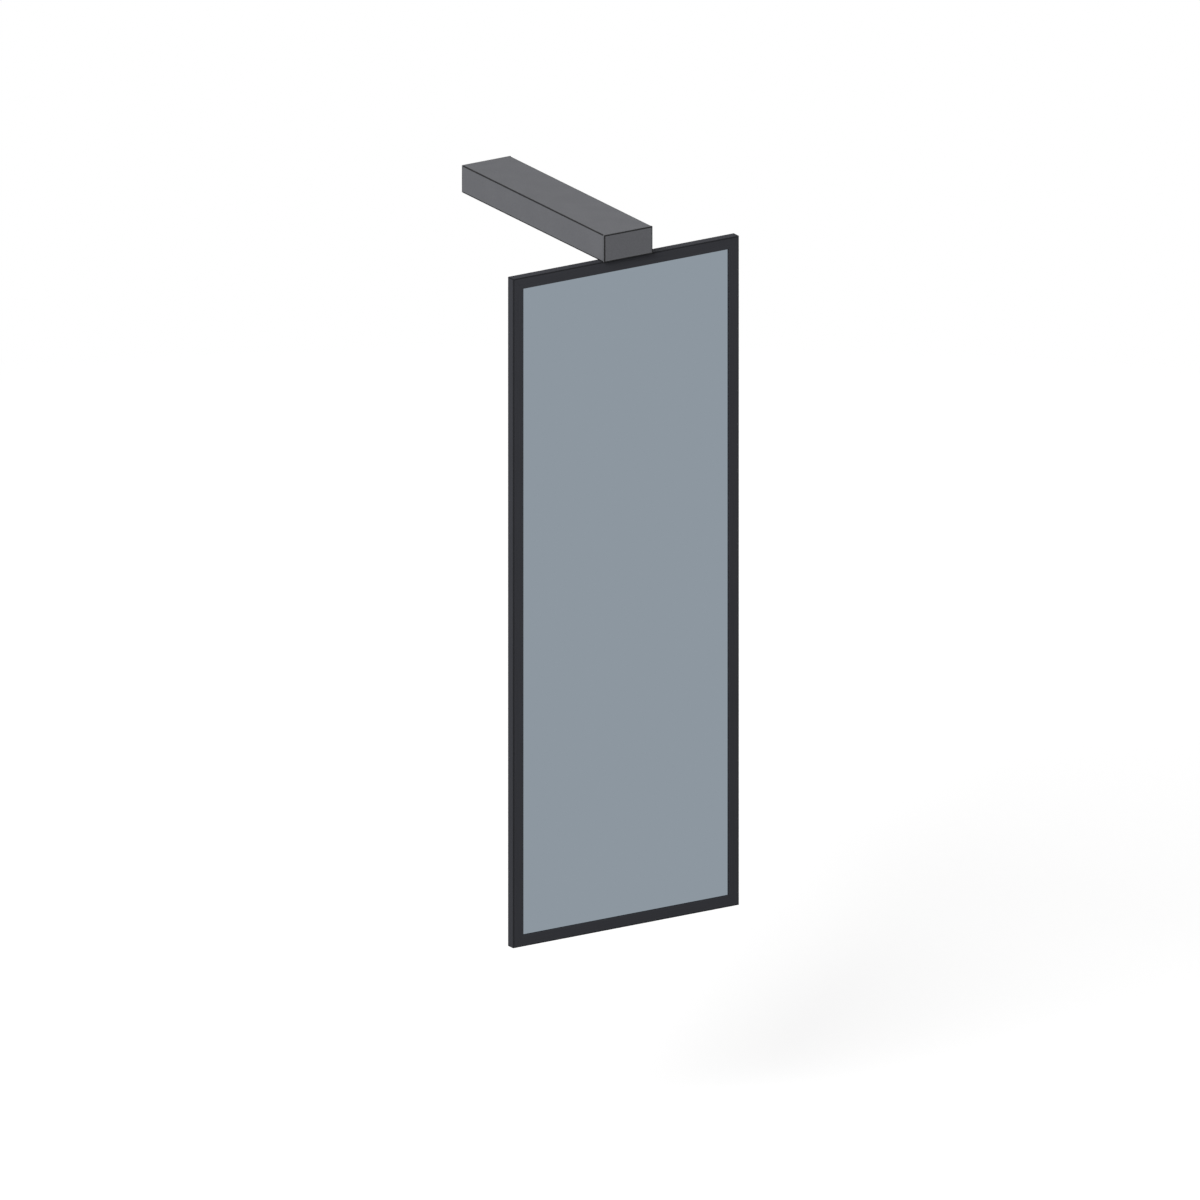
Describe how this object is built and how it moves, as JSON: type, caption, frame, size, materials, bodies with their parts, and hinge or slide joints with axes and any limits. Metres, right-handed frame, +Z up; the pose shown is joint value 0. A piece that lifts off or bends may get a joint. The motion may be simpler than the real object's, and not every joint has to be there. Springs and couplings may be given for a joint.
{
  "type": "pull out closet mirror",
  "caption": "Framed mirror on a swivel under a telescopic slide: it pulls out from below a closet shelf and turns a quarter turn either way.",
  "frame": {"origin": "centre of the housing's top face, where it screws to the underside of a shelf", "axes": "+X to the right of someone facing the mirror, +Y into the closet along the slide, +Z up; the mirror faces -Y with the slide closed"},
  "size_m": [0.3556, 0.36, 0.9789],
  "materials": {
    "powder_coat": "satin grey powder coat",
    "cap_plastic": "fine matt texture, grey",
    "buffer_rubber": "matt",
    "zinc_steel": "bright zinc plate",
    "cage_plastic": "natural acetal",
    "roller_steel": "hardened and ground",
    "cast_zinc": "as cast",
    "bronze": "sintered",
    "turned_steel": "turned, zinc plated",
    "black_aluminium": "charcoal anodised",
    "key_aluminium": "mill",
    "gasket_rubber": "matt",
    "mirror": "silvered float glass, slightly tinted",
    "film": "safety film",
    "panel_board": "dark laminated hardboard"
  },
  "bodies": {
    "housing": {"housing_channel": "powder_coat", "rear_cap": "cap_plastic", "end_bumpers": "buffer_rubber", "outer_rail_left": "zinc_steel", "outer_rail_right": "zinc_steel"},
    "outer_cages": {"outer_cage_left": "cage_plastic", "outer_cage_right": "cage_plastic", "outer_rollers_left": "roller_steel", "outer_rollers_right": "roller_steel"},
    "intermediate": {"intermediate_rail_left": "zinc_steel", "intermediate_rail_right": "zinc_steel"},
    "inner_cages": {"inner_cage_left": "cage_plastic", "inner_cage_right": "cage_plastic", "inner_rollers_left": "roller_steel", "inner_rollers_right": "roller_steel"},
    "carriage": {"inner_rail_left": "zinc_steel", "inner_rail_right": "zinc_steel", "carriage_channel": "zinc_steel", "bearing_block": "cast_zinc", "upper_bush": "bronze", "lower_bush": "bronze", "block_screws": "turned_steel", "front_cap": "cap_plastic", "stop_pin": "turned_steel"},
    "mirror": {"spindle": "turned_steel", "thrust_washer": "turned_steel", "wave_washer": "turned_steel", "lock_nut": "turned_steel", "hanger_bar": "turned_steel", "frame_top": "black_aluminium", "frame_bottom": "black_aluminium", "frame_left": "black_aluminium", "frame_right": "black_aluminium", "gasket_top": "gasket_rubber", "gasket_bottom": "gasket_rubber", "gasket_left": "gasket_rubber", "gasket_right": "gasket_rubber", "corner_keys": "key_aluminium", "mirror_glass": "mirror", "safety_film": "film", "back_panel": "panel_board"}
  },
  "joints": [
    {"name": "slide_out", "type": "slide", "parent": "housing", "child": "carriage", "axis": [0, -1, 0], "range_m": [0, 0.33]},
    {"name": "intermediate_slide", "type": "slide", "parent": "housing", "child": "intermediate", "axis": [0, -1, 0], "range_m": [0, 0.165]},
    {"name": "outer_cage_slide", "type": "slide", "parent": "housing", "child": "outer_cages", "axis": [0, -1, 0], "range_m": [0, 0.0825]},
    {"name": "inner_cage_slide", "type": "slide", "parent": "housing", "child": "inner_cages", "axis": [0, -1, 0], "range_m": [0, 0.2475]},
    {"name": "mirror_swivel", "type": "hinge", "parent": "carriage", "child": "mirror", "pos_m": [0, -0.1675, -0.024], "axis": [0, 0, 1], "range_deg": [-90, 90]}
  ],
  "couplings": [
    {"joint": "intermediate_slide", "follows": "slide_out", "ratio": 0.5},
    {"joint": "outer_cage_slide", "follows": "slide_out", "ratio": 0.25},
    {"joint": "inner_cage_slide", "follows": "slide_out", "ratio": 0.75}
  ]
}
